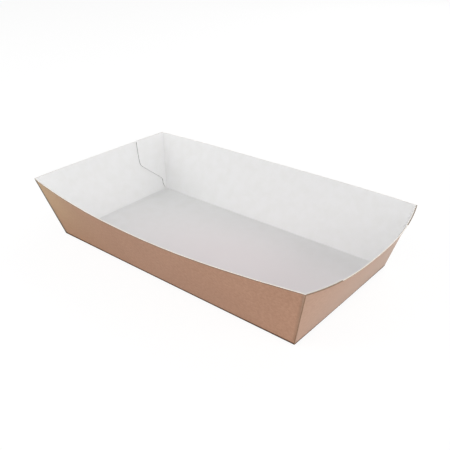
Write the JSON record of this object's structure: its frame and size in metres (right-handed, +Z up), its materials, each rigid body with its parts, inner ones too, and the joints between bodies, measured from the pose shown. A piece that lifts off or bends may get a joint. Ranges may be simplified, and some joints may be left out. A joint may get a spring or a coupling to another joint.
{
  "type": "paper food tray",
  "caption": "Open rectangular food tray folded and glued from one sheet of kraft board, with leaning walls that bow out at the rim and a white inside.",
  "frame": {"origin": "under the middle of the floor, on the surface that the tray stands on", "axes": "+X along the long walls, +Y across the tray, +Z up out of its open top"},
  "size_m": [0.2404, 0.1418, 0.0441],
  "materials": {
    "kraft_board": "matt brown kraft outside, smooth white coating inside, pale cut edges"
  },
  "bodies": {
    "root": {"tray": "kraft_board"}
  },
  "joints": []
}
